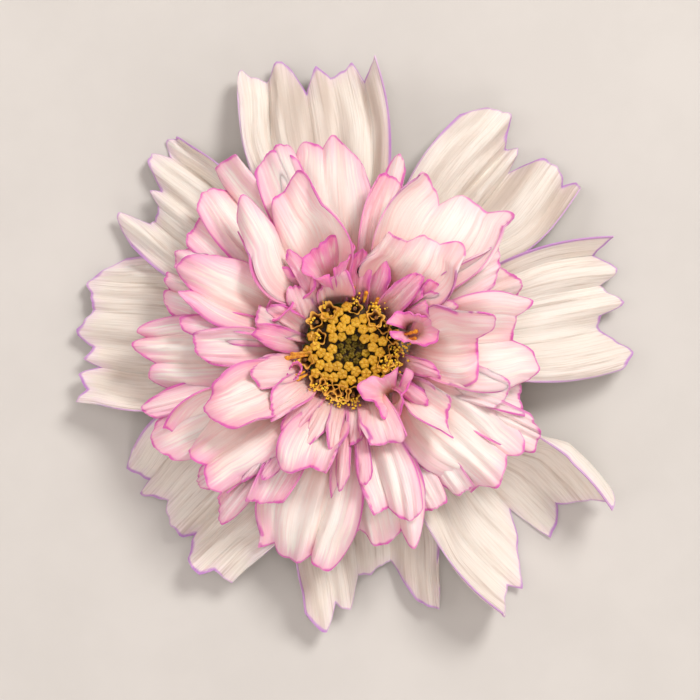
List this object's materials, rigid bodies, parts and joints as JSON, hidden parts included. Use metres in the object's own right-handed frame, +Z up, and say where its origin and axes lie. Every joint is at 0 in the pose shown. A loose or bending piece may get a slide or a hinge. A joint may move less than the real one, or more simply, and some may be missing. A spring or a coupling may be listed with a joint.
{
  "type": "cosmos flower",
  "caption": "Double cosmos flower head with toothed cream-white outer rays, layered pink-rimmed inner petals and a golden disc, lying face up on a short stem stub.",
  "frame": {"origin": "bottom centre of the bounding box: the plane the flower rests on, under the middle of the bloom", "axes": "+Z up out of the face of the bloom, along its stem; +Y towards the top of the pictured flower; +X to its right"},
  "size_m": [0.08, 0.0824, 0.0218],
  "materials": {
    "green_calyx": "soft matt green skin with paler bract margins",
    "white_petals": "thin translucent cream-white petal, veined and pleated, violet rim",
    "pink_petals": "thin translucent petal, white to rose, with a magenta-pink rim",
    "golden_disc": "matt golden buds, brown-orange open florets, powdery yellow pollen"
  },
  "bodies": {
    "root": {"calyx_and_stem": "green_calyx", "outer_petals": "white_petals", "inner_petals": "pink_petals", "disc_florets": "golden_disc"}
  },
  "joints": []
}
